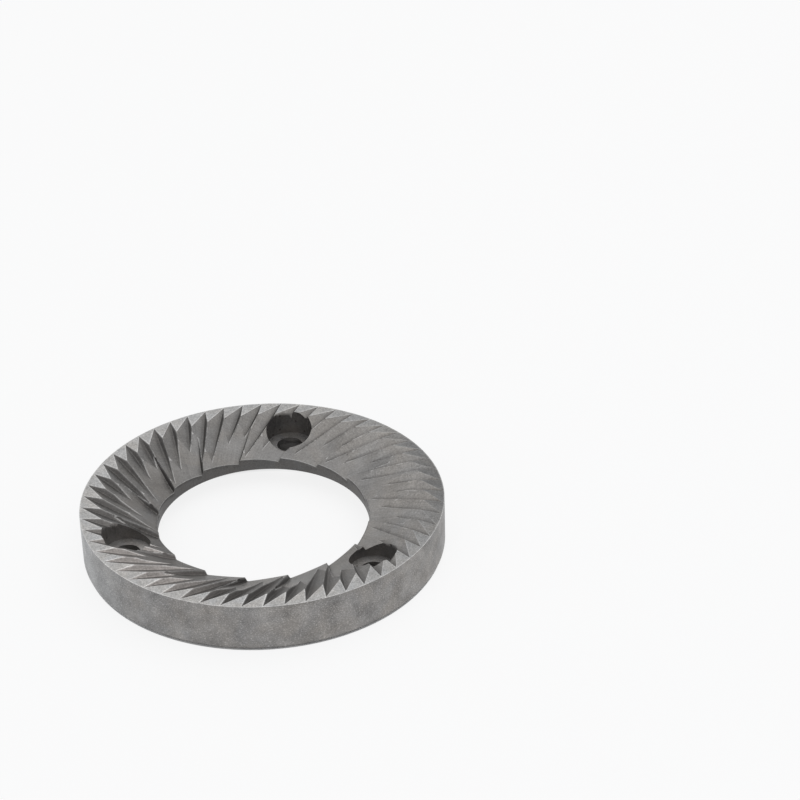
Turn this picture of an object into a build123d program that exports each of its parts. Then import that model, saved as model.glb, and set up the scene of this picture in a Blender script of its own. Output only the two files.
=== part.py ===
from build123d import *
import os
from math import cos, radians, sin

# Flat coffee grinder burr: a ring of hardened steel with a toothed face, in one solid.
# Lengths are in mm and angles in degrees. +Z is the axis of the burr and the teeth point up.
# The origin is the centre of the back face. Directions turn from +X towards +Y.

# ring
outer_dia = 64.0
bore_dia = 37.4
height = 9.0
back_chamfer = 0.75

# recess in the back, which seats on the carrier
back_ring_width = 3.8
recess_depth = 3.1
relief_width = 1.6
relief_depth = 0.4
relief_ledge = 0.4  # flat left between the relief groove and the wall of the recess

# fixing screws, sunk into the toothed face
screw_count = 3
screw_circle_dia = 50.0
first_screw = 81.5  # direction of the first screw
screw_hole_dia = 4.7
head_pocket_dia = 8.4
screw_web = 1.4  # metal between the floor of the recess and the seat of the screw head

# fine grooves, which leave a triangular land at each tip around the rim
fine_count = 56
first_tip = 2.84  # direction of the first tip
tip_inset = 0.22  # from the outer wall to where a groove starts on the rim
fine_wall_turn = 11.8  # from the way to the centre to the top edge of the steep wall
fine_ramp_turn = 45.8  # from the way to the centre to the top edge of the ramp
fine_wall_lean = 38.0  # of the steep wall, from upright
fine_ramp_slope = 29.5  # of the ramp, from level

# feed grooves, which start at the bore and run out among the fine grooves
feed_count = 16
first_feed = 16.28  # direction in which the first steep wall meets the bore
feed_wall_turn = 20.3  # of the steep wall, from the way to the centre
feed_wall_lean = 25.1  # of the steep wall, from upright
feed_wall_drop = 3.94  # of the point of the wall on the bore, below the tips
feed_ramp_turn = 24.35  # of the ramp's line of fall, from the wall at the bore
feed_ramp_slope = 26.6  # from level
feed_ramp_drop = 3.52  # of the ramp on the bore, below the tips
feed_heel_slope = 28.2  # of the heel that ends a groove before the lands, from level
feed_heel_drop = 4.71  # of the heel on the bore, below the tips

# reach of a cutter past the metal that it cuts
overrun = 0.5

outer_radius = outer_dia / 2
bore_radius = bore_dia / 2
recess_radius = outer_radius - back_ring_width
relief_outer = recess_radius - relief_ledge
relief_inner = relief_outer - relief_width
seat_height = recess_depth + screw_web
tip_radius = outer_radius - tip_inset
cutter_top = height + overrun


def heading(turn, rise=0.0):
    """A unit vector that points turn degrees round from +X and rise degrees up."""
    level = cos(radians(rise))
    return Vector(level * cos(radians(turn)), level * sin(radians(turn)), sin(radians(rise)))


def ring_blank():
    """The turned ring with its bore, back recess, relief groove and chamfered back rim."""
    outline = Polyline(
        (bore_radius, recess_depth),
        (relief_inner, recess_depth),
        (relief_inner, recess_depth + relief_depth),
        (relief_outer, recess_depth + relief_depth),
        (relief_outer, recess_depth),
        (recess_radius, recess_depth),
        (recess_radius, 0),
        (outer_radius - back_chamfer, 0),
        (outer_radius, back_chamfer),
        (outer_radius, height),
        (bore_radius, height),
        close=True,
    )
    return revolve(Plane.XZ * make_face(outline), Axis.Z)


def fine_groove():
    """The cutter of one fine groove, a wedge with its point at the tip on the +X side."""
    tip = Vector(tip_radius, 0, height)
    # outward normals of the metal: the wall faces on round the ring, the ramp faces back
    wall_normal = heading(90 - fine_wall_turn, fine_wall_lean)
    ramp_normal = heading(270 - fine_ramp_turn, 90 - fine_ramp_slope)
    bottom = wall_normal.cross(ramp_normal).normalized()
    if bottom.Z > 0:
        bottom = bottom * -1
    point = tip - bottom * (overrun / -bottom.Z)
    # the far corners lie where the wall, the ramp and the bottom come nearest to the axis
    wall_end = point + heading(180 - fine_wall_turn) * (tip_radius * cos(radians(fine_wall_turn)))
    ramp_end = point + heading(180 - fine_ramp_turn) * (tip_radius * cos(radians(fine_ramp_turn)))
    bottom_end = point + bottom * tip_radius
    corners = [point, wall_end, ramp_end, bottom_end]
    sides = [corners[:i] + corners[i + 1:] for i in range(len(corners))]
    return Solid(Shell([Face(Wire.make_polygon(side)) for side in sides]))


def feed_groove():
    """The cutter of one feed groove, whose steep wall meets the bore on the +X side."""
    pitch = 360 / feed_count
    blank = Pos(outer_radius / 2, 0, cutter_top - height / 2) * Box(outer_radius, 2 * outer_radius, height)
    bore_point = Vector(bore_radius, 0, 0)
    wall = Plane(
        bore_point + Vector(0, 0, height - feed_wall_drop),
        z_dir=heading(90 - feed_wall_turn, feed_wall_lean),
    )
    ramp_foot = heading(feed_ramp_turn) * bore_radius
    ramp = Plane(
        ramp_foot + Vector(0, 0, height - feed_ramp_drop),
        z_dir=heading(180 + feed_ramp_turn, 90 - feed_ramp_slope),
    )
    heel = Plane(
        bore_point + Vector(0, 0, height - feed_heel_drop),
        z_dir=heading(180, 90 - feed_heel_slope),
    )
    # past this turn the next groove has cut deeper, so the cutter can end
    far_turn = 1.4 * pitch
    far_side = Plane((0, 0, 0), z_dir=heading(far_turn - 90))
    for side in (wall, ramp, heel, far_side):
        blank = split(blank, bisect_by=side, keep=Keep.TOP)
    return blank


def screw_hole():
    """The cutter of one screw hole with the pocket that takes the screw's head."""
    through = Cylinder(screw_hole_dia / 2, cutter_top, align=(Align.CENTER, Align.CENTER, Align.MIN))
    pocket = Cylinder(
        head_pocket_dia / 2,
        cutter_top - seat_height,
        align=(Align.CENTER, Align.CENTER, Align.MIN),
    )
    return Pos(screw_circle_dia / 2, 0, 0) * (through + Pos(0, 0, seat_height) * pocket)


def round_the_axis(cutter, count, first):
    """Copies of a cutter evenly round the axis, the first one turned to a given direction."""
    return [Rot(0, 0, first + i * 360 / count) * cutter for i in range(count)]


def burr():
    """The finished burr."""
    cutters = round_the_axis(fine_groove(), fine_count, first_tip)
    cutters += round_the_axis(feed_groove(), feed_count, first_feed)
    cutters += round_the_axis(screw_hole(), screw_count, first_screw)
    return ring_blank() - cutters


os.makedirs("parts", exist_ok=True)
export_step(burr(), "parts/burr.step")
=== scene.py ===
import bmesh
import bpy
import numpy as np
from math import radians
from mathutils import Matrix, Vector


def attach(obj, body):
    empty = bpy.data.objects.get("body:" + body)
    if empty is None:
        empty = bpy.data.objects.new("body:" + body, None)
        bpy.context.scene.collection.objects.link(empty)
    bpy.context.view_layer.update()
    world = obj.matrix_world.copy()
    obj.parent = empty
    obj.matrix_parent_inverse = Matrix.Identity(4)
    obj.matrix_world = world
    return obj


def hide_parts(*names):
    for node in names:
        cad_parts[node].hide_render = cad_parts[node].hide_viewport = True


# Flat coffee grinder burr. Sizes here are in mm, as in the part's source, and MM turns them into metres.
# +Z is the burr's axis, the teeth point up, and directions turn from +X towards +Y, in degrees.
MM = 0.001

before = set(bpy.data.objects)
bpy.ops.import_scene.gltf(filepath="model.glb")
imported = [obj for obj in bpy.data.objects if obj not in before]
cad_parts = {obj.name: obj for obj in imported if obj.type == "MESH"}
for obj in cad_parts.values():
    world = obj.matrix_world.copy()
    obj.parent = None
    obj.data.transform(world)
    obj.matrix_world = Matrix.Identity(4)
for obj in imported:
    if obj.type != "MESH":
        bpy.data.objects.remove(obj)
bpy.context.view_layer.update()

# ring
OUTER_RADIUS = 32.0
BORE_RADIUS = 18.7
HEIGHT = 9.0
BACK_CHAMFER = 0.75

# back
RECESS_RADIUS = 28.2
RECESS_DEPTH = 3.1
RELIEF_OUTER = 27.8
RELIEF_INNER = 26.2

# fixing screws
SCREW_COUNT = 3
SCREW_CIRCLE_RADIUS = 25.0
FIRST_SCREW = 81.5
SCREW_HOLE_RADIUS = 2.35
HEAD_POCKET_RADIUS = 4.2
SEAT_HEIGHT = 4.5

# fine grooves
FINE_COUNT = 56
FIRST_TIP = 2.84
TIP_RADIUS = 31.78
FINE_WALL_TURN = 11.8
FINE_RAMP_TURN = 45.8
FINE_WALL_LEAN = 38.0
FINE_RAMP_SLOPE = 29.5
FINE_REACH = (-25.0, 50.0)

# feed grooves
FEED_COUNT = 16
FIRST_FEED = 16.28
FEED_WALL_TURN = 20.3
FEED_WALL_LEAN = 25.1
FEED_WALL_DROP = 3.94
FEED_RAMP_TURN = 24.35
FEED_RAMP_SLOPE = 26.6
FEED_RAMP_DROP = 3.52
FEED_HEEL_SLOPE = 28.2
FEED_HEEL_DROP = 4.71
FEED_REACH = (-20.0, 31.5)

# how far the cutter's rounded edge softens the bottom of a groove, as a height at the bottom
FINE_ROOT_SOFTNESS = 0.3
FEED_ROOT_SOFTNESS = 0.12
FEED_HEEL_SOFTNESS = 0.35

# longest edge of the finished mesh: where a groove's bottom is rounded, on the other teeth and elsewhere
ROOT_EDGE = 0.32
TOOTH_EDGE = 0.5
PLAIN_EDGE = 1.0

# faces narrower than this are dropped
LEAST_EDGE = 0.002

# an edge that turns by less, in radians, may be swapped for one that shapes the faces better
FLAT_TURN = 0.002

# a point counts as rounded from this lift on
LEAST_LIFT = 0.01

# how often an edge is halved at most
HALVINGS = 12

# a distance and a height that are out of reach of everything on the burr
FAR_AWAY = 9.0

# a face lies on a wall or a flat when its middle is less than this off it
NEAR_CIRCLE = 0.06
NEAR_WALL = 0.05
NEAR_FLAT = 0.02

# a rounding takes no more than this share of a groove's depth, and every groove counts as this deep at least
ROUNDED_SHARE = 0.7
LEAST_DEPTH = 0.001

# how far a normal points up: on a tooth at least, on an upright wall at most, on a flat and on the chamfer
LEAST_TOOTH_RISE = 0.3
MOST_WALL_RISE = 0.1
FLAT_RISE = 0.95
CHAMFER_RISES = (-0.9, -0.3)

# an edge is as keen as the slopes that meet in it differ, and one blunter than this hardly shines
BLUNT = 0.45
LEAST_SHINE = 0.05
LEAST_KEENNESS = 0.2

# how far the cutter's marks of one groove are shifted from those of the next
MARKS_APART = 3.7

# edges that turn by less stay smooth, in degrees
SHARP_TURN = 24

# the camera: its place, the way back from the burr to it, its right hand and its lens
CAMERA_PLACE = (29.22, -361.6, 250.8)
CAMERA_BACK = (0.0109, -0.8522, 0.5230)
CAMERA_RIGHT = (0.99978, 0.0, -0.0209)
SENSOR_WIDTH = 36.0
FOCAL_LENGTH = 111.5

# the floor: half its width in metres, how far it lies under the burr, its grey, and how white it is seen
FLOOR_HALF_WIDTH = 1.5
FLOOR_GAP = 0.02
PAPER_GREY = 0.86
WHITE_SHARE = 0.85

# radii between which the floor under the ring turns dark, as it is seen and as the steel mirrors it
SEEN_DARKENING = (22.8, 26.0)
MIRRORED_DARKENING = (BORE_RADIUS, BORE_RADIUS + 1.0)
LAST_DARK_RADIUS = OUTER_RADIUS - 0.3

# the finishes, in the order of the mesh's material slots
FINISHES = (
    "fine_grooves", "feed_grooves", "ground_lands", "turned_walls",
    "bored_wall", "drilled_pockets", "pocket_seats", "recessed_back",
)


# camera
def place_camera():
    """The camera stands where the photograph was taken from, a little right of the middle and high up."""
    lens = bpy.data.cameras.new("photo_camera")
    lens.sensor_width = SENSOR_WIDTH
    lens.lens = FOCAL_LENGTH
    camera = bpy.data.objects.new("photo_camera", lens)
    bpy.context.scene.collection.objects.link(camera)
    back = Vector(CAMERA_BACK).normalized()
    up = back.cross(Vector(CAMERA_RIGHT)).normalized()
    right = up.cross(back)
    turn = Matrix((right, up, back)).transposed().to_4x4()
    camera.matrix_world = Matrix.Translation(Vector(CAMERA_PLACE) * MM) @ turn
    bpy.context.scene.camera = camera


# the toothed face
def slope_plane(point, turn, rise):
    """The plane through a point whose normal has a turn and a rise, as (height at the origin, gradient)."""
    level = np.cos(np.radians(rise))
    normal = (level * np.cos(np.radians(turn)), level * np.sin(np.radians(turn)), np.sin(np.radians(rise)))
    gradient = -np.array(normal[:2]) / normal[2]
    return point[2] - gradient @ np.array(point[:2]), gradient


def height_on(plane, u, v):
    start, gradient = plane
    return start + gradient[0] * u + gradient[1] * v


def soft_max(a, b, softness):
    """The higher of two heights, rounded where they meet, and less so where the groove is shallow."""
    depth = np.clip(HEIGHT - np.maximum(a, b), LEAST_DEPTH, None)
    softness = np.minimum(softness, ROUNDED_SHARE * depth)
    near = np.clip(softness - abs(a - b), 0, None)
    return np.maximum(a, b) + near * near / (4 * softness)


class Groove:
    """One groove of the toothed face: its own direction, and its planes as seen from there."""

    def __init__(self, turn, reach, wall, floor, softness):
        self.turn = np.radians(turn)
        self.reach = reach
        self.wall = wall
        self.floor = floor
        self.softness = softness

    def cut(self, x, y, soft=False):
        """Heights of its steep wall, of its floor, and of the surface that they leave."""
        u = x * np.cos(self.turn) + y * np.sin(self.turn)
        v = -x * np.sin(self.turn) + y * np.cos(self.turn)
        wall = height_on(self.wall, u, v)
        floor = height_on(self.floor[0], u, v)
        for heel in self.floor[1:]:
            rise = height_on(heel, u, v)
            floor = soft_max(floor, rise, FEED_HEEL_SOFTNESS) if soft else np.maximum(floor, rise)
        surface = soft_max(wall, floor, self.softness) if soft else np.maximum(wall, floor)
        bearing = np.degrees(np.arctan2(v, u))
        cuts = (bearing > self.reach[0]) & (bearing < self.reach[1])
        return wall, floor, np.where(cuts, surface, HEIGHT + FAR_AWAY)

    def ways(self):
        """The gradients of its wall and of its floor, as directions of the whole burr."""
        c, s = np.cos(self.turn), np.sin(self.turn)
        spin = np.array(((c, -s), (s, c)))
        return spin @ self.wall[1], spin @ self.floor[0][1]


def fine_grooves():
    tip = (TIP_RADIUS, 0.0, HEIGHT)
    wall = slope_plane(tip, 90 - FINE_WALL_TURN, FINE_WALL_LEAN)
    ramp = slope_plane(tip, 270 - FINE_RAMP_TURN, 90 - FINE_RAMP_SLOPE)
    turns = FIRST_TIP + np.arange(FINE_COUNT) * 360 / FINE_COUNT
    return [Groove(turn, FINE_REACH, wall, (ramp,), FINE_ROOT_SOFTNESS) for turn in turns]


def feed_grooves():
    toward = np.radians(FEED_RAMP_TURN)
    foot = (BORE_RADIUS * np.cos(toward), BORE_RADIUS * np.sin(toward), HEIGHT - FEED_RAMP_DROP)
    wall = slope_plane((BORE_RADIUS, 0.0, HEIGHT - FEED_WALL_DROP), 90 - FEED_WALL_TURN, FEED_WALL_LEAN)
    ramp = slope_plane(foot, 180 + FEED_RAMP_TURN, 90 - FEED_RAMP_SLOPE)
    heel = slope_plane((BORE_RADIUS, 0.0, HEIGHT - FEED_HEEL_DROP), 180, 90 - FEED_HEEL_SLOPE)
    turns = FIRST_FEED + np.arange(FEED_COUNT) * 360 / FEED_COUNT
    return [Groove(turn, FEED_REACH, wall, (ramp, heel), FEED_ROOT_SOFTNESS) for turn in turns]


def surfaces(points, soft=False):
    """Heights of the lands, then of each fine and each feed groove, one row each, over the points."""
    x, y = points[:, 0], points[:, 1]
    lands = np.full(len(points), HEIGHT)
    return np.array([lands] + [groove.cut(x, y, soft)[2] for groove in GROOVES], dtype=np.float32)


def corner_marks(points, corners, owner):
    """Distances in mm at each corner of the toothed triangles, seen from the surface that each lies on.

    groove_side is the distance from the groove's bottom line, above 0 on its steep wall.
    crest_distance is how far the nearest keen edge is, and rim_distance the rim or the bore.
    groove_place runs along and across the groove.
    """
    heights = surfaces(points)
    sides = np.full(heights.shape, FAR_AWAY, dtype=np.float32)
    places = np.zeros((*heights.shape, 2), dtype=np.float32)
    places[0] = points
    ways = [np.zeros((2, 2))]
    for number, groove in enumerate(GROOVES, start=1):
        wall, floor, _ = groove.cut(points[:, 0], points[:, 1])
        wall_way, floor_way = groove.ways()
        uphill = wall_way / np.linalg.norm(wall_way)
        sides[number] = (wall - floor) / np.linalg.norm(wall_way - floor_way)
        places[number] = points @ np.array(((-uphill[1], uphill[0]), (uphill[0], uphill[1]))).T
        ways.append(np.array((floor_way, wall_way)))
    ways = np.array(ways)
    lowest = np.argsort(heights, axis=0)[:3]
    own = np.repeat(owner[:, None], 3, axis=1)
    first, second, third = lowest[:, corners]
    other = np.where(first != own, first, np.where(second != own, second, third))
    own_side = sides[own, corners]
    on_wall = np.repeat((own_side.mean(axis=1) > 0)[:, None], 3, axis=1).astype(int)
    other_on_wall = (sides[other, corners] > 0).astype(int)
    keenness = np.linalg.norm(ways[own, on_wall] - ways[other, other_on_wall], axis=2)
    rise = np.clip(heights[other, corners] - heights[own, corners], 0, None)
    shine = np.where(own == 0, 1.0, np.clip(keenness - BLUNT, LEAST_SHINE, 1))
    crest = rise / np.maximum(keenness, LEAST_KEENNESS) / shine
    radius = np.hypot(points[:, 0], points[:, 1])[corners]
    rim = np.clip(np.minimum(OUTER_RADIUS - radius, radius - BORE_RADIUS), 0, None)
    place = np.concatenate((places[own, corners], own[:, :, None] * MARKS_APART), axis=2)
    return {"groove_side": own_side, "crest_distance": crest, "rim_distance": rim, "groove_place": place}


# the mesh of the burr
def screw_centres():
    turns = np.radians(FIRST_SCREW + np.arange(SCREW_COUNT) * 360 / SCREW_COUNT)
    return SCREW_CIRCLE_RADIUS * np.column_stack((np.cos(turns), np.sin(turns)))


def is_tooth(face):
    above_seats = face.calc_center_median().z > (SEAT_HEIGHT + NEAR_CIRCLE) * MM
    return face.normal.z > LEAST_TOOTH_RISE and above_seats


def rounding(points):
    """How far the rounding of the groove bottoms lifts each point of the toothed face, in mm."""
    return surfaces(points, soft=True).min(axis=0) - surfaces(points).min(axis=0)


def refine(bm):
    """Splits long edges until the toothed face is fine enough to round the bottoms of its grooves."""
    for _ in range(HALVINGS):
        bm.verts.index_update()
        lift = rounding(np.array([vert.co.xy for vert in bm.verts]) / MM)
        teeth = {face for face in bm.faces if is_tooth(face)}
        long_edges = []
        for edge in bm.edges:
            limit = PLAIN_EDGE
            if any(face in teeth for face in edge.link_faces):
                rounded = max(lift[vert.index] for vert in edge.verts) > LEAST_LIFT
                limit = ROOT_EDGE if rounded else TOOTH_EDGE
            if edge.calc_length() > limit * MM:
                long_edges.append(edge)
        if not long_edges:
            return
        bmesh.ops.subdivide_edges(bm, edges=long_edges, cuts=1)
        bmesh.ops.dissolve_degenerate(bm, edges=bm.edges[:], dist=LEAST_EDGE * MM)
        bmesh.ops.triangulate(bm, faces=[face for face in bm.faces if len(face.verts) > 3])
        flat = [e for e in bm.edges if len(e.link_faces) == 2 and e.calc_face_angle(1.0) < FLAT_TURN]
        bmesh.ops.beautify_fill(bm, faces=bm.faces[:], edges=flat, use_restrict_tag=False, method="ANGLE")


def set_radius(vert, radius, centre=(0.0, 0.0)):
    """Moves a point level with the floor to a radius round a centre, both in mm."""
    middle = Vector(centre) * MM
    off = vert.co.xy - middle
    vert.co.xy = middle + off * (radius * MM / off.length)


def true_circles(bm):
    """Moves the points of every turned and drilled wall out to its true circle."""
    rings = (OUTER_RADIUS, BORE_RADIUS, RECESS_RADIUS, RELIEF_OUTER, RELIEF_INNER)
    circles = [(radius, (0.0, 0.0)) for radius in rings]
    for centre in screw_centres():
        circles += [(HEAD_POCKET_RADIUS, centre), (SCREW_HOLE_RADIUS, centre)]
    for face in bm.faces:
        middle = face.calc_center_median() / MM
        if CHAMFER_RISES[0] < face.normal.z < CHAMFER_RISES[1] and middle.z < BACK_CHAMFER:
            for vert in face.verts:
                set_radius(vert, OUTER_RADIUS - BACK_CHAMFER + vert.co.z / MM)
        if abs(face.normal.z) > MOST_WALL_RISE:
            continue
        for radius, centre in circles:
            if abs((middle.xy - Vector(centre)).length - radius) < NEAR_CIRCLE:
                for vert in face.verts:
                    set_radius(vert, radius, centre)
                break


def positions(mesh):
    """The mesh's points in mm."""
    flat = np.empty(3 * len(mesh.vertices))
    mesh.vertices.foreach_get("co", flat)
    return flat.reshape(-1, 3) / MM


def finish_numbers(points, corners, teeth, owner):
    """Which finish each triangle has, as its place in FINISHES."""
    slot = {name: number for number, name in enumerate(FINISHES)}
    sides = points[corners[:, 1:]] - points[corners[:, :1]]
    normal = np.cross(sides[:, 0], sides[:, 1])
    down = normal[:, 2] < -FLAT_RISE * np.linalg.norm(normal, axis=1)
    middle = points[corners].mean(axis=1)
    height = middle[:, 2]
    radius = np.hypot(middle[:, 0], middle[:, 1])
    from_screws = np.min([np.hypot(*(middle[:, :2] - centre).T) for centre in screw_centres()], axis=0)
    in_pockets = (from_screws < HEAD_POCKET_RADIUS + 2 * NEAR_WALL) & (height > RECESS_DEPTH + NEAR_WALL)
    on_seats = (abs(height - SEAT_HEIGHT) < NEAR_FLAT) & (from_screws < HEAD_POCKET_RADIUS)
    numbers = np.full(len(corners), slot["turned_walls"])
    numbers[radius < RECESS_RADIUS + NEAR_WALL] = slot["recessed_back"]
    numbers[radius < BORE_RADIUS + NEAR_WALL] = slot["bored_wall"]
    numbers[in_pockets] = slot["drilled_pockets"]
    numbers[on_seats] = slot["pocket_seats"]
    numbers[down & (height < NEAR_WALL)] = slot["ground_lands"]
    milled = np.where(owner <= FINE_COUNT, slot["fine_grooves"], slot["feed_grooves"])
    numbers[teeth] = np.where(owner == 0, slot["ground_lands"], milled)[teeth]
    return numbers


def burr_piece():
    """The burr as it is seen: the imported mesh, finer, with soft groove bottoms and marks for its finish."""
    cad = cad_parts["burr"]
    bm = bmesh.new()
    bm.from_mesh(cad.data)
    bmesh.ops.remove_doubles(bm, verts=bm.verts[:], dist=LEAST_EDGE / 2 * MM)
    bmesh.ops.triangulate(bm, faces=bm.faces[:])
    bm.normal_update()
    refine(bm)
    bm.normal_update()
    teeth = np.array([is_tooth(face) for face in bm.faces])
    before = np.array([vert.co for vert in bm.verts]) / MM
    true_circles(bm)
    mesh = bpy.data.meshes.new("burr_steel_ring")
    bm.to_mesh(mesh)
    bm.free()

    after = positions(mesh)
    corners = np.empty(len(mesh.loops), dtype=np.int32)
    mesh.loops.foreach_get("vertex_index", corners)
    corners = corners.reshape(-1, 3)
    tooth_verts = np.unique(corners[teeth])
    sharp = surfaces(before[tooth_verts, :2]).min(axis=0)
    soft = surfaces(after[tooth_verts, :2], soft=True).min(axis=0)
    after[tooth_verts, 2] = np.minimum(before[tooth_verts, 2] + soft - sharp, HEIGHT)
    mesh.vertices.foreach_set("co", (after * MM).ravel())

    owner = np.zeros(len(corners), dtype=int)
    middles = before[corners[teeth]].mean(axis=1)
    owner[teeth] = surfaces(middles[:, :2]).argmin(axis=0)
    renumber = np.zeros(len(after), dtype=int)
    renumber[tooth_verts] = np.arange(len(tooth_verts))
    marks = corner_marks(after[tooth_verts, :2], renumber[corners[teeth]], owner[teeth])
    for name, values in marks.items():
        wide = values.ndim == 3
        whole = np.full((*corners.shape, 3) if wide else corners.shape, FAR_AWAY)
        whole[teeth] = values
        layer = mesh.attributes.new(name, "FLOAT_VECTOR" if wide else "FLOAT", "CORNER")
        layer.data.foreach_set("vector" if wide else "value", whole.ravel())

    mesh.polygons.foreach_set("material_index", finish_numbers(after, corners, teeth, owner))
    mesh.polygons.foreach_set("use_smooth", np.ones(len(corners), dtype=bool))
    mesh.update()
    mesh.set_sharp_from_angle(angle=radians(SHARP_TURN))
    piece = bpy.data.objects.new("burr_steel_ring", mesh)
    bpy.context.scene.collection.objects.link(piece)
    return piece


# nodes
def add(tree, kind, **settings):
    node = tree.nodes.new(kind)
    for key, value in settings.items():
        setattr(node, key, value)
    return node


def feed(tree, socket, value):
    """Sets a socket to a number or colour, or links it to another socket."""
    if isinstance(value, bpy.types.NodeSocket):
        tree.links.new(value, socket)
    elif isinstance(value, tuple):
        socket.default_value = (*value, 1.0)
    else:
        socket.default_value = value


def calc(tree, operation, a, b=0.0, c=0.0, clamp=False):
    node = add(tree, "ShaderNodeMath", operation=operation, use_clamp=clamp)
    for socket, value in zip(node.inputs, (a, b, c)):
        feed(tree, socket, value)
    return node.outputs[0]


def mix(tree, factor, a, b, blend="MIX"):
    node = add(tree, "ShaderNodeMix", data_type="RGBA", blend_type=blend, clamp_result=False)
    for socket, value in zip((node.inputs[0], node.inputs[6], node.inputs[7]), (factor, a, b)):
        feed(tree, socket, value)
    return node.outputs[2]


def vector(tree, x, y, z):
    node = add(tree, "ShaderNodeCombineXYZ")
    for socket, value in zip(node.inputs, (x, y, z)):
        feed(tree, socket, value)
    return node.outputs[0]


def noise(tree, place, scale, detail, distortion=0.0):
    node = add(tree, "ShaderNodeTexNoise")
    for label, value in (("Vector", place), ("Scale", scale), ("Detail", detail), ("Distortion", distortion)):
        feed(tree, node.inputs[label], value)
    return node.outputs["Fac"]


def around_zero(tree, value, strength):
    """A noise about 0 and as strong as given."""
    return calc(tree, "MULTIPLY", calc(tree, "SUBTRACT", value, 0.5), strength)


def effect_group(name, inputs, outputs):
    """An empty effect with its named sockets, and where its points lie on the burr."""
    group = bpy.data.node_groups.new(name, "ShaderNodeTree")
    for label, value in inputs.items():
        socket = group.interface.new_socket(name=label, in_out="INPUT", socket_type="NodeSocketFloat")
        socket.default_value = value
    for label in outputs:
        group.interface.new_socket(name=label, in_out="OUTPUT", socket_type="NodeSocketFloat")
    inside = add(group, "NodeGroupInput").outputs
    outside = add(group, "NodeGroupOutput").inputs
    place = add(group, "ShaderNodeTexCoord").outputs["Object"]
    return group, inside, outside, place


# effects
def mottle_effect():
    """Cloudy patches, grains and specks as a factor around 1, a brown or blue lean, and the bare grain."""
    sizes = {
        "Patch Size": 3.0, "Grain Size": 0.3, "Patches": 0.2,
        "Grains": 0.2, "Specks": 0.0, "Flatten": 1.0,
    }
    group, inside, outside, place = effect_group("steel_mottle", sizes, ("Shade", "Lean", "Grain"))
    squashed = add(group, "ShaderNodeVectorMath", operation="MULTIPLY")
    feed(group, squashed.inputs[0], place)
    feed(group, squashed.inputs[1], vector(group, 1.0, 1.0, inside["Flatten"]))
    patch_scale = calc(group, "DIVIDE", 1000.0, inside["Patch Size"])
    grain_scale = calc(group, "DIVIDE", 1000.0, inside["Grain Size"])
    patch = noise(group, place, patch_scale, 5.0)
    grain = noise(group, squashed.outputs[0], grain_scale, 2.0, 0.4)
    lean = noise(group, place, calc(group, "MULTIPLY", patch_scale, 0.6), 2.0, 0.8)
    shade = calc(group, "ADD", around_zero(group, patch, inside["Patches"]), 1.0)
    shade = calc(group, "ADD", shade, around_zero(group, grain, inside["Grains"]))
    bright = calc(group, "MAXIMUM", calc(group, "SUBTRACT", grain, 0.58), 0.0)
    shade = calc(group, "ADD", shade, calc(group, "MULTIPLY", bright, inside["Specks"]))
    feed(group, outside["Shade"], calc(group, "MAXIMUM", shade, 0.2))
    feed(group, outside["Lean"], calc(group, "MULTIPLY_ADD", lean, 3.0, -1.0, clamp=True))
    feed(group, outside["Grain"], grain)
    return group


def pit_effect():
    """Small dark pits, one here and there, as a mask."""
    group, inside, outside, place = effect_group(
        "steel_pits", {"Spacing": 2.0, "Size": 0.12, "Share": 0.4}, ("Pit",)
    )
    cells = add(group, "ShaderNodeTexVoronoi", feature="F1")
    feed(group, cells.inputs["Vector"], place)
    feed(group, cells.inputs["Scale"], calc(group, "DIVIDE", 1000.0, inside["Spacing"]))
    chance = add(group, "ShaderNodeSeparateColor")
    feed(group, chance.inputs[0], cells.outputs["Color"])
    chosen = calc(group, "LESS_THAN", chance.outputs[0], inside["Share"])
    inner = calc(group, "SUBTRACT", inside["Size"], cells.outputs["Distance"])
    pit = calc(group, "MULTIPLY", inner, 14.0, clamp=True)
    feed(group, outside["Pit"], calc(group, "MULTIPLY", pit, chosen))
    return group


def painted_side_light_effect():
    """Painted light and shade: steel lighter or darker on one side of the ring, as a factor that goes from
    Far to Near.
    """
    group, inside, outside, place = effect_group(
        "painted_light_one_side", {"Toward": 0.0, "Far": 1.0, "Near": 1.0, "Focus": 1.0}, ("Shade",)
    )
    split = add(group, "ShaderNodeSeparateXYZ")
    feed(group, split.inputs[0], place)
    round_it = calc(group, "ARCTAN2", split.outputs["Y"], split.outputs["X"])
    turn = calc(group, "SUBTRACT", round_it, calc(group, "RADIANS", inside["Toward"]))
    nearness = calc(group, "MULTIPLY_ADD", calc(group, "COSINE", turn), 0.5, 0.5, clamp=True)
    nearness = calc(group, "POWER", nearness, inside["Focus"])
    swing = calc(group, "SUBTRACT", inside["Near"], inside["Far"])
    feed(group, outside["Shade"], calc(group, "MULTIPLY_ADD", swing, nearness, inside["Far"]))
    return group


def fading_line(tree, distance, width):
    """1 on a line and fading to both sides of it, as wide as given in mm."""
    share = calc(tree, "DIVIDE", distance, width)
    return calc(tree, "EXPONENT", calc(tree, "MULTIPLY", calc(tree, "MULTIPLY", share, share), -1.0))


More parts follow.
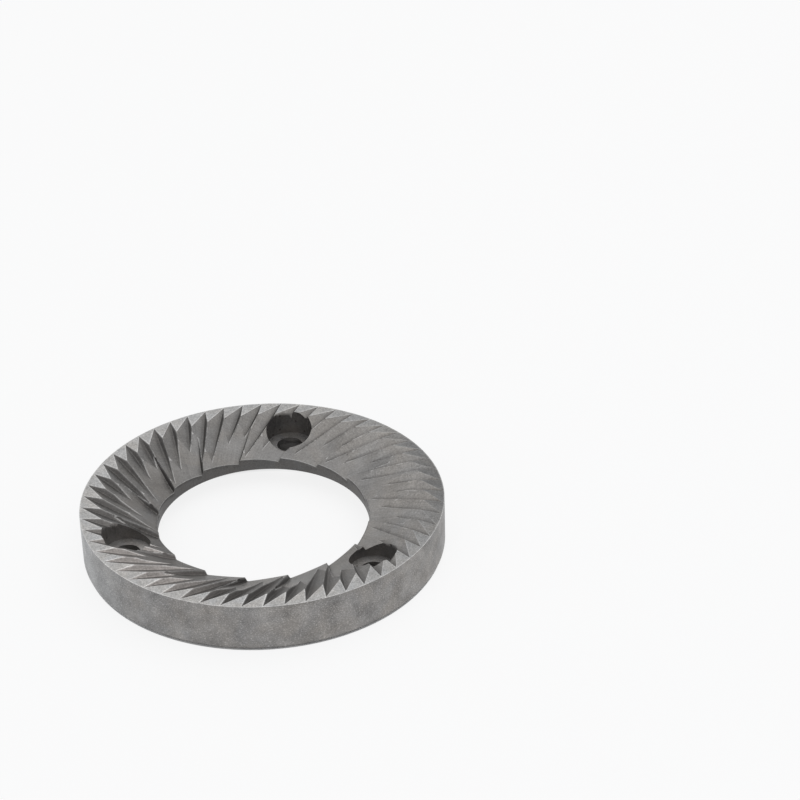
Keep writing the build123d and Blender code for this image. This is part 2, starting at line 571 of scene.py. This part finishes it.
def groove_effect():
    """The parts of a milled groove as masks: its steep wall, its bottom line, its crests and the rims."""
    widths = {"Wall Blend": 0.1, "Wall Root": 0.3, "Floor Root": 0.3, "Crest Width": 0.1, "Rim Width": 0.1}
    group, inside, outside, _ = effect_group("milled_groove", widths, ("Wall", "Root", "Crest", "Rim"))
    mark = {
        name: add(group, "ShaderNodeAttribute", attribute_name=name).outputs["Fac"]
        for name in ("groove_side", "crest_distance", "rim_distance")
    }
    doubled = calc(group, "MULTIPLY", inside["Wall Blend"], 2.0)
    wall = calc(group, "ADD", calc(group, "DIVIDE", mark["groove_side"], doubled), 0.5, clamp=True)
    feed(group, outside["Wall"], wall)
    wider = calc(group, "SUBTRACT", inside["Wall Root"], inside["Floor Root"])
    root_width = calc(group, "MULTIPLY_ADD", wider, wall, inside["Floor Root"])
    feed(group, outside["Root"], fading_line(group, mark["groove_side"], root_width))
    feed(group, outside["Crest"], fading_line(group, mark["crest_distance"], inside["Crest Width"]))
    feed(group, outside["Rim"], fading_line(group, mark["rim_distance"], inside["Rim Width"]))
    return group


def streak_effect():
    """The cutter's marks, long one way of the groove and short the other, as a factor around 1."""
    sizes = {"Along": 4.0, "Across": 0.2, "Marks": 0.3}
    group, inside, outside, _ = effect_group("cutter_marks", sizes, ("Shade",))
    place = add(group, "ShaderNodeAttribute", attribute_name="groove_place")
    split = add(group, "ShaderNodeSeparateXYZ")
    feed(group, split.inputs[0], place.outputs["Vector"])
    along = calc(group, "DIVIDE", split.outputs["X"], inside["Along"])
    across = calc(group, "DIVIDE", split.outputs["Y"], inside["Across"])
    lines = noise(group, vector(group, along, across, split.outputs["Z"]), 1.0, 2.0)
    feed(group, outside["Shade"], calc(group, "ADD", around_zero(group, lines, inside["Marks"]), 1.0))
    return group


def place_effect(tree, name, values):
    node = add(tree, "ShaderNodeGroup", node_tree=EFFECTS[name])
    for label, value in values.items():
        feed(tree, node.inputs[label], value)
    return node.outputs


def painted_side_light_share(tree, toward, far, near, focus):
    """A value that goes from far to near on one side of the ring, for painted light and shade."""
    values = {"Toward": toward, "Far": far, "Near": near, "Focus": focus}
    return place_effect(tree, "side", values)["Shade"]


def grey_factor(tree, value):
    """A factor as a grey colour, to multiply a colour with."""
    grey = add(tree, "ShaderNodeCombineColor")
    for socket in grey.inputs:
        feed(tree, socket, value)
    return grey.outputs[0]


# finishes
# painted highlight on crests and rims
PAINTED_HIGHLIGHT = (0.66, 0.655, 0.65)
# painted shade at the bottoms of the grooves
PAINTED_ROOT_SHADE = (0.042, 0.039, 0.037)
# painted light, brownish, on a stretch of grooves left of the near side
PAINTED_LIGHT_WARM_FLOOR = (0.136, 0.127, 0.122)
PAINTED_LIGHT_WARM_WALL = (0.34, 0.315, 0.30)
# painted reflection, bluish, on the left end of the outer wall
PAINTED_REFLECTION_BLUE = (0.43, 0.44, 0.45)
PIT_BOTTOM = (0.05, 0.04, 0.035)
GROOVE_STEEL = (0.225, 0.219, 0.213)

# how far the painted shade of the near side covers a groove's bottom
NEAR_ROOT_SHADE_SHARE = 0.9


def groove_paint(wall_shade_colour, wall_shade_side, wall_shade_share, blend, roots, crest_highlight_share, lit_stretch_share, marks):
    """What a milled groove adds to its floor's colour: painted shade on the wall and bottom, painted
    highlights on the edges.

    On the near side the painted shade spreads over the floors, and left of it a stretch of grooves gets
    brownish painted light.
    """

    def paint(tree, colour):
        # painted shade at the bottoms of the grooves, wider and stronger on the near side
        near_root_shade = painted_side_light_share(tree, -103.0, 0.0, 1.0, 14.0)
        floor_root = calc(tree, "MULTIPLY_ADD", near_root_shade, roots["near"] - roots["floor"], roots["floor"])
        root_share = calc(tree, "MULTIPLY_ADD", near_root_shade, NEAR_ROOT_SHADE_SHARE - roots["share"], roots["share"])
        widths = {"Wall Blend": blend, "Wall Root": roots["wall"], "Floor Root": floor_root}
        part = place_effect(tree, "groove", widths)
        # painted shade on the steep wall, darker towards one side
        wall = mix(tree, 1.0, wall_shade_colour, grey_factor(tree, painted_side_light_share(tree, *wall_shade_side)), "MULTIPLY")
        colour = mix(tree, calc(tree, "MULTIPLY", part["Wall"], wall_shade_share), colour, wall)
        colour = mix(tree, calc(tree, "MULTIPLY", part["Root"], root_share), colour, PAINTED_ROOT_SHADE)
        # painted light, brownish, on a stretch of grooves left of the near side
        warm = calc(tree, "MINIMUM", painted_side_light_share(tree, -136.0, 0.0, 1.8, 28.0), 1.0)
        lit_stretch_grey = mix(tree, part["Wall"], PAINTED_LIGHT_WARM_FLOOR, PAINTED_LIGHT_WARM_WALL)
        colour = mix(tree, calc(tree, "MULTIPLY", warm, lit_stretch_share), colour, lit_stretch_grey)
        for mark in marks:
            streaks = place_effect(tree, "streaks", mark)["Shade"]
            colour = mix(tree, 1.0, colour, grey_factor(tree, streaks), "MULTIPLY")
        # painted highlights on the crests and on the rim
        colour = mix(tree, calc(tree, "MULTIPLY", part["Crest"], crest_highlight_share), colour, PAINTED_HIGHLIGHT)
        return mix(tree, calc(tree, "MULTIPLY", part["Rim"], 0.4), colour, PAINTED_HIGHLIGHT)

    return paint


def land_highlight_paint(tree, colour):
    """Painted highlights on the thin edges of the ground lands, fainter on one side."""
    part = place_effect(tree, "groove", {"Crest Width": 0.13, "Rim Width": 0.13})
    share = painted_side_light_share(tree, 5.0, 0.5, 0.08, 4.0)
    colour = mix(tree, calc(tree, "MULTIPLY", part["Crest"], share), colour, PAINTED_HIGHLIGHT)
    return mix(tree, calc(tree, "MULTIPLY", part["Rim"], 0.6), colour, PAINTED_HIGHLIGHT)


def painted_reflection_end(tree, colour):
    """The wall's left end is smoother and bluish: a painted reflection."""
    end = painted_side_light_share(tree, -176.0, 0.0, 1.0, 10.0)
    return mix(tree, calc(tree, "MULTIPLY", end, 0.8), colour, PAINTED_REFLECTION_BLUE)


def steel(name, colour, roughness, mottle, pits, side, paint=None):
    """A finish of the burr's steel from the shared effects, each with its own values.

    side puts painted light and shade on one side of the ring: a direction, a far and a near factor, and a
    focus.
    """
    material = bpy.data.materials.new(name)
    material.use_nodes = True
    tree = material.node_tree
    shader = tree.nodes["Principled BSDF"].inputs
    mottled = place_effect(tree, "mottle", mottle)
    pitted = place_effect(tree, "pits", pits)
    hue = mix(tree, mottled["Lean"], (0.99, 1.0, 1.012), (1.022, 1.0, 0.972))
    body = mix(tree, 1.0, hue, colour, "MULTIPLY")
    # painted light and shade on one side of the ring
    body = mix(tree, 1.0, body, grey_factor(tree, painted_side_light_share(tree, *side)), "MULTIPLY")
    if paint:
        body = paint(tree, body)
    body = mix(tree, 1.0, body, grey_factor(tree, mottled["Shade"]), "MULTIPLY")
    body = mix(tree, calc(tree, "MULTIPLY", pitted["Pit"], 0.75), body, PIT_BOTTOM)
    feed(tree, shader["Base Color"], body)
    feed(tree, shader["Roughness"], calc(tree, "MULTIPLY_ADD", mottled["Grain"], 0.2, roughness - 0.1))
    shader["Metallic"].default_value = 0.85
    bump = add(tree, "ShaderNodeBump")
    bump.inputs["Strength"].default_value = 0.5
    bump.inputs["Distance"].default_value = 0.03 * MM
    feed(tree, bump.inputs["Height"], calc(tree, "SUBTRACT", mottled["Grain"], pitted["Pit"]))
    feed(tree, shader["Normal"], bump.outputs["Normal"])
    return material


def finishes():
    """The finishes in the order of the mesh's material slots."""
    # each finish's tuple after its pits puts painted light and shade on one side of the ring, and the
    # grooves' paint adds painted shade, painted light and painted highlights
    return [
        steel(
            "fine_grooves", GROOVE_STEEL, 0.45,
            {"Patch Size": 4.0, "Grain Size": 0.3, "Patches": 0.6, "Grains": 1.0},
            {"Spacing": 2.4, "Size": 0.09, "Share": 0.25},
            (0.0, 0.69, 1.12, 5.0),
            paint=groove_paint(
                (0.112, 0.108, 0.105), (-92.0, 1.0, 0.42, 12.0), 0.9, 0.12,
                {"wall": 0.45, "floor": 0.5, "near": 2.2, "share": 0.5}, 0.28, 0.75,
                [{"Along": 3.0, "Across": 0.16, "Marks": 0.5}, {"Along": 0.22, "Across": 2.0, "Marks": 0.4}],
            ),
        ),
        steel(
            "feed_grooves", GROOVE_STEEL, 0.45,
            {"Patch Size": 4.0, "Grain Size": 0.3, "Patches": 0.6, "Grains": 0.8},
            {"Spacing": 2.4, "Size": 0.09, "Share": 0.15},
            (-30.0, 0.7, 1.15, 1.7),
            paint=groove_paint(
                (0.076, 0.073, 0.071), (-85.0, 1.0, 0.6, 8.0), 0.95, 0.05,
                {"wall": 0.15, "floor": 0.3, "near": 0.6, "share": 0.35}, 0.28, 0.3,
                [{"Along": 5.0, "Across": 0.22, "Marks": 0.4}, {"Along": 0.3, "Across": 3.0, "Marks": 0.2}],
            ),
        ),
        steel(
            "ground_lands", (0.385, 0.382, 0.378), 0.45,
            {"Patch Size": 3.0, "Grain Size": 0.26, "Patches": 0.5, "Grains": 1.4},
            {"Spacing": 1.8, "Size": 0.12, "Share": 0.3},
            (12.0, 1.0, 0.37, 5.0),
            paint=land_highlight_paint,
        ),
        steel(
            "turned_walls", (0.255, 0.248, 0.242), 0.5,
            {
                "Patch Size": 3.5, "Grain Size": 0.25, "Patches": 1.2,
                "Grains": 1.2, "Specks": 3.5, "Flatten": 1.6,
            },
            {"Spacing": 2.0, "Size": 0.07, "Share": 0.25},
            (-50.0, 0.97, 1.06, 6.0),
            paint=painted_reflection_end,
        ),
        steel(
            "bored_wall", (0.118, 0.115, 0.113), 0.5,
            {"Patch Size": 2.0, "Grain Size": 0.25, "Patches": 0.4, "Grains": 0.9},
            {"Spacing": 2.5, "Size": 0.08, "Share": 0.3},
            (15.0, 1.0, 1.35, 8.0),
        ),
        steel(
            "drilled_pockets", (0.165, 0.158, 0.153), 0.5,
            {"Patch Size": 2.0, "Grain Size": 0.3, "Patches": 0.7, "Grains": 0.8},
            {"Spacing": 1.5, "Size": 0.17, "Share": 0.4},
            (-160.0, 0.9, 1.1, 3.0),
        ),
        steel(
            "pocket_seats", (0.26, 0.254, 0.25), 0.5,
            {"Patch Size": 2.0, "Grain Size": 0.3, "Patches": 0.7, "Grains": 1.2},
            {"Spacing": 1.5, "Size": 0.14, "Share": 0.5},
            (-160.0, 0.9, 1.15, 3.0),
        ),
        # the recess is darker than the turned walls: painted shade
        steel(
            "recessed_back", (0.165, 0.161, 0.158), 0.5,
            {"Patch Size": 4.0, "Grain Size": 0.3, "Patches": 0.5, "Grains": 0.8},
            {"Spacing": 2.5, "Size": 0.08, "Share": 0.25},
            (0.0, 1.0, 1.0, 1.0),
        ),
    ]


# studio
def rays_that_see_white(tree, hidden_from_camera=0.0, hidden_from_gloss=0.0):
    """The rays that see plain white, less what the two masks hide of it."""
    path = add(tree, "ShaderNodeLightPath")
    left_to_camera = calc(tree, "SUBTRACT", 1.0, hidden_from_camera)
    left_to_gloss = calc(tree, "SUBTRACT", 1.0, hidden_from_gloss)
    shown = calc(tree, "MULTIPLY", path.outputs["Is Camera Ray"], left_to_camera)
    mirrored = calc(tree, "MULTIPLY", path.outputs["Is Glossy Ray"], left_to_gloss)
    return calc(tree, "MAXIMUM", calc(tree, "MAXIMUM", shown, mirrored), path.outputs["Is Transmission Ray"])


def under_the_burr(tree, lit, dark):
    """0 to 1 on the floor under the ring, from the last lit radius to the first dark one."""
    split = add(tree, "ShaderNodeSeparateXYZ")
    feed(tree, split.inputs[0], add(tree, "ShaderNodeTexCoord").outputs["Object"])
    across = calc(tree, "POWER", split.outputs["X"], 2.0)
    along = calc(tree, "POWER", split.outputs["Y"], 2.0)
    radius = calc(tree, "SQRT", calc(tree, "ADD", across, along))
    inward = calc(tree, "SUBTRACT", radius, lit * MM)
    darker = calc(tree, "DIVIDE", inward, (dark - lit) * MM, clamp=True)
    return calc(tree, "MULTIPLY", darker, calc(tree, "LESS_THAN", radius, LAST_DARK_RADIUS * MM))


def pale_floor():
    """A plain floor that looks white from above and lets the burr be seen from below."""
    mesh = bpy.data.meshes.new("pale_floor")
    half = FLOOR_HALF_WIDTH
    edge_points = [(-half, -half, 0), (half, -half, 0), (half, half, 0), (-half, half, 0)]
    mesh.from_pydata(edge_points, [], [(0, 1, 2, 3)])
    floor = bpy.data.objects.new("pale_floor", mesh)
    floor.location.z = -FLOOR_GAP * MM
    bpy.context.scene.collection.objects.link(floor)
    material = bpy.data.materials.new("pale_floor")
    material.use_nodes = True
    tree = material.node_tree
    tree.nodes.remove(tree.nodes["Principled BSDF"])
    paper = add(tree, "ShaderNodeBsdfDiffuse")
    paper.inputs["Color"].default_value = (PAPER_GREY, PAPER_GREY, PAPER_GREY, 1)
    white = add(tree, "ShaderNodeEmission")
    white.inputs["Color"].default_value = (1, 1, 1, 1)
    blend = add(tree, "ShaderNodeMixShader")
    seen_dark = under_the_burr(tree, *SEEN_DARKENING)
    mirrored_dark = under_the_burr(tree, *MIRRORED_DARKENING)
    seen = rays_that_see_white(tree, seen_dark, mirrored_dark)
    tree.links.new(calc(tree, "MULTIPLY", seen, WHITE_SHARE), blend.inputs[0])
    tree.links.new(paper.outputs[0], blend.inputs[1])
    tree.links.new(white.outputs[0], blend.inputs[2])
    open_below = add(tree, "ShaderNodeMixShader")
    tree.links.new(add(tree, "ShaderNodeNewGeometry").outputs["Backfacing"], open_below.inputs[0])
    tree.links.new(blend.outputs[0], open_below.inputs[1])
    tree.links.new(add(tree, "ShaderNodeBsdfTransparent").outputs[0], open_below.inputs[2])
    tree.links.new(open_below.outputs[0], tree.nodes["Material Output"].inputs["Surface"])
    mesh.materials.append(material)


def soft_lamp(name, place, size, watts):
    """A square lamp, in metres, that looks at the burr."""
    light = bpy.data.lights.new(name, "AREA")
    light.shape = "SQUARE"
    light.size = size
    light.energy = watts
    lamp = bpy.data.objects.new(name, light)
    lamp.location = place
    lamp.rotation_euler = Vector(place).to_track_quat("Z", "Y").to_euler()
    bpy.context.scene.collection.objects.link(lamp)


def studio():
    pale_floor()
    world = bpy.data.worlds.new("white_studio")
    bpy.context.scene.world = world
    world.use_nodes = True
    tree = world.node_tree
    plain = tree.nodes["Background"]
    plain.inputs["Color"].default_value = (0.55, 0.56, 0.58, 1)
    white = add(tree, "ShaderNodeBackground")
    white.inputs["Color"].default_value = (1, 1, 1, 1)
    blend = add(tree, "ShaderNodeMixShader")
    tree.links.new(rays_that_see_white(tree), blend.inputs[0])
    tree.links.new(plain.outputs[0], blend.inputs[1])
    tree.links.new(white.outputs[0], blend.inputs[2])
    tree.links.new(blend.outputs[0], tree.nodes["World Output"].inputs["Surface"])
    soft_lamp("top_lamp", (0.25, 0.15, 0.9), size=1.0, watts=3.0)
    soft_lamp("front_lamp", (-0.3, -0.7, 0.5), size=0.8, watts=1.0)
    bpy.context.scene.view_settings.view_transform = "Standard"


GROOVES = fine_grooves() + feed_grooves()
EFFECTS = {
    "mottle": mottle_effect(),
    "pits": pit_effect(),
    "side": painted_side_light_effect(),
    "groove": groove_effect(),
    "streaks": streak_effect(),
}

place_camera()
burr = burr_piece()
for finish in finishes():
    burr.data.materials.append(finish)
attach(burr, "root")
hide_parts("burr")
studio()
